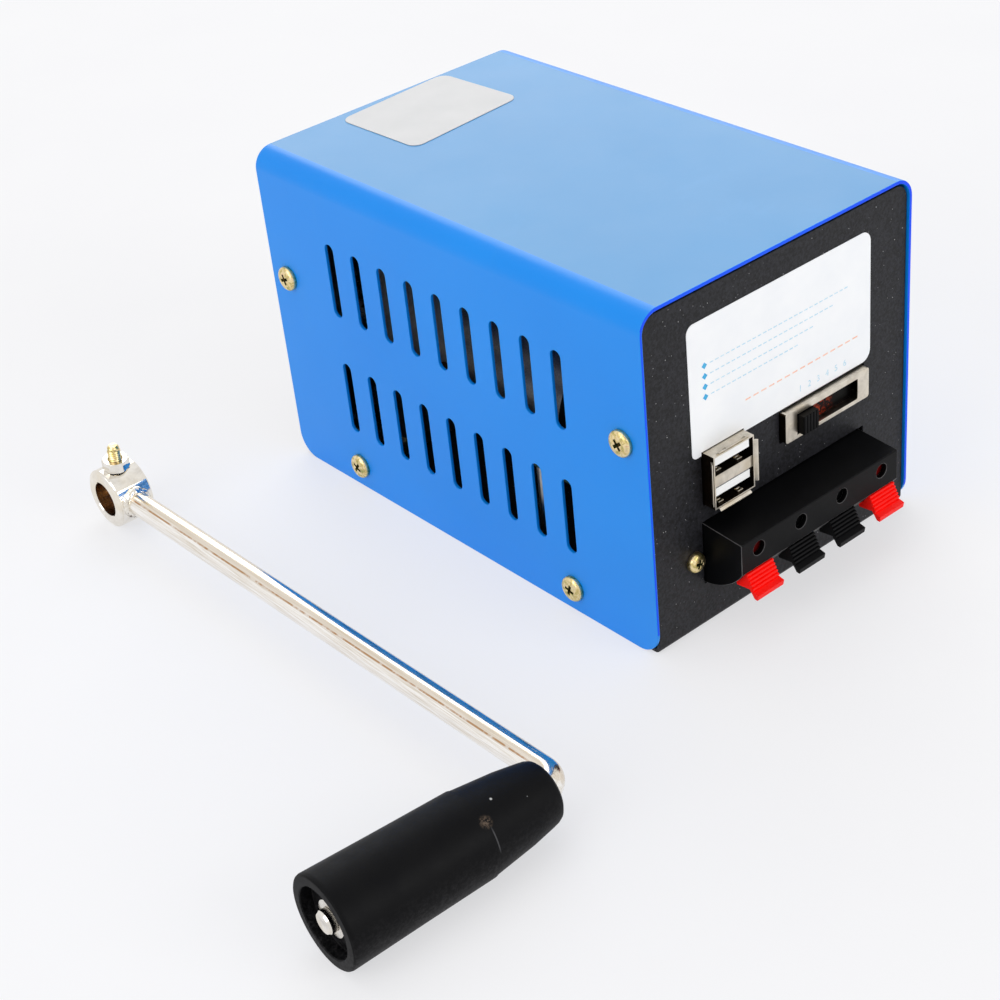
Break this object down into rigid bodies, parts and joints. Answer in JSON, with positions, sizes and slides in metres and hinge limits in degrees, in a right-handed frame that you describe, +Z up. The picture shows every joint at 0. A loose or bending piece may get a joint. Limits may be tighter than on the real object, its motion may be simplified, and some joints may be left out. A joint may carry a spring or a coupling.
{
  "type": "hand crank generator",
  "caption": "Vented sheet-metal box with a geared dynamo inside, a USB and push-terminal output panel in front, and a detached crank with a turning grip beside it.",
  "frame": {"origin": "centre of the box's underside, on the table", "axes": "+X across the box away from the crank, +Y from the output panel to the driven shaft, +Z up"},
  "size_m": [0.2255, 0.2114, 0.1002],
  "materials": {
    "blue_paint": "gloss",
    "black_paint": "fine powder coat",
    "yellow_zinc": "yellow zinc plated",
    "white_film": "satin",
    "bright_nickel": "nickel plated",
    "white_plastic": "moulded",
    "gilt": "gilt",
    "steel": "ground",
    "laminate": "laminate",
    "black_plastic": "moulded",
    "red_plastic": "moulded",
    "tinned_brass": "tinned",
    "bronze": "sintered",
    "gear_steel": "machined",
    "magnet": "sintered",
    "carbon": "pressed",
    "copper": "enamelled",
    "board_green": "solder mask",
    "can_sleeve": "sleeved",
    "ferrite": "coated",
    "aluminium": "anodised"
  },
  "bodies": {
    "housing": {"bearing_plate": "steel", "board_pillars": "bronze", "board_screws": "yellow_zinc", "capacitors": "can_sleeve", "chassis": "black_paint", "choke": "ferrite", "circuit_board": "board_green", "cover": "blue_paint", "cover_screws": "yellow_zinc", "crank_bushes": "bronze", "gear_pillars": "steel", "gear_plate": "steel", "gear_screws": "yellow_zinc", "heat_sink": "aluminium", "lever_pin": "steel", "lever_spring_1": "steel", "lever_spring_2": "steel", "lever_spring_3": "steel", "lever_spring_4": "steel", "motor_brushes": "carbon", "motor_can": "steel", "motor_cap": "black_plastic", "motor_magnets": "magnet", "motor_screws": "yellow_zinc", "panel_label": "white_film", "panel_screws": "yellow_zinc", "regulator": "black_plastic", "second_bushes": "bronze", "switch_base": "laminate", "switch_frame": "bright_nickel", "switch_pins": "tinned_brass", "terminal_block": "black_plastic", "terminal_contacts": "tinned_brass", "top_sticker": "white_film", "usb_contacts": "gilt", "usb_core": "white_plastic", "usb_shell": "bright_nickel"},
    "crank_shaft": {"crank_shaft": "steel", "main_gear": "gear_steel"},
    "second_shaft": {"second_shaft": "steel", "second_gear": "gear_steel"},
    "rotor": {"rotor_shaft": "steel", "motor_pinion": "gear_steel", "armature": "gear_steel", "windings": "copper", "commutator": "copper"},
    "switch_slider": {"switch_knob": "black_plastic"},
    "lever_1": {"lever_1": "red_plastic"},
    "lever_2": {"lever_2": "black_plastic"},
    "lever_3": {"lever_3": "black_plastic"},
    "lever_4": {"lever_4": "red_plastic"},
    "crank": {"crank_collar": "bright_nickel", "crank_arm": "bright_nickel", "clamp_screw": "yellow_zinc", "clamp_nut": "yellow_zinc", "grip_washer": "steel"},
    "crank_grip": {"grip": "black_plastic"}
  },
  "joints": [
    {"name": "crank_turn", "type": "hinge", "parent": "housing", "child": "crank_shaft", "pos_m": [0, 0.06, 0.055], "axis": [0, 1, 0], "continuous": true},
    {"name": "second_turn", "type": "hinge", "parent": "housing", "child": "second_shaft", "pos_m": [-0.01601, 0.06, 0.02275], "axis": [0, 1, 0], "continuous": true},
    {"name": "rotor_turn", "type": "hinge", "parent": "housing", "child": "rotor", "pos_m": [0.00799, 0.02, 0.02275], "axis": [0, 1, 0], "continuous": true},
    {"name": "switch_slide", "type": "slide", "parent": "housing", "child": "switch_slider", "axis": [1, 0, 0], "range_m": [0, 0.0172]},
    {"name": "lever_1_press", "type": "hinge", "parent": "housing", "child": "lever_1", "pos_m": [-0.02405, -0.07955, 0.02755], "axis": [1, 0, 0], "range_deg": [0, 14], "stiffness_Nm_per_rad": 0.1, "springref_deg": -5.73, "deforming": ["lever_spring_1"]},
    {"name": "lever_2_press", "type": "hinge", "parent": "housing", "child": "lever_2", "pos_m": [-0.00825, -0.07955, 0.02755], "axis": [1, 0, 0], "range_deg": [0, 14], "stiffness_Nm_per_rad": 0.1, "springref_deg": -5.73, "deforming": ["lever_spring_2"]},
    {"name": "lever_3_press", "type": "hinge", "parent": "housing", "child": "lever_3", "pos_m": [0.00755, -0.07955, 0.02755], "axis": [1, 0, 0], "range_deg": [0, 14], "stiffness_Nm_per_rad": 0.1, "springref_deg": -5.73, "deforming": ["lever_spring_3"]},
    {"name": "lever_4_press", "type": "hinge", "parent": "housing", "child": "lever_4", "pos_m": [0.02335, -0.07955, 0.02755], "axis": [1, 0, 0], "range_deg": [0, 14], "stiffness_Nm_per_rad": 0.1, "springref_deg": -5.73, "deforming": ["lever_spring_4"]},
    {"name": "crank_lift", "type": "slide", "parent": "housing", "child": "crank", "axis": [0, 0, 1], "range_m": [0, 0.12]},
    {"name": "grip_turn", "type": "hinge", "parent": "crank", "child": "crank_grip", "pos_m": [-0.14061, -0.10284, 0.01203], "axis": [-0.9986, 0.0523, -0.0008], "continuous": true}
  ],
  "couplings": [
    {"joint": "second_turn", "follows": "crank_turn", "ratio": -5},
    {"joint": "rotor_turn", "follows": "crank_turn", "ratio": 25}
  ]
}
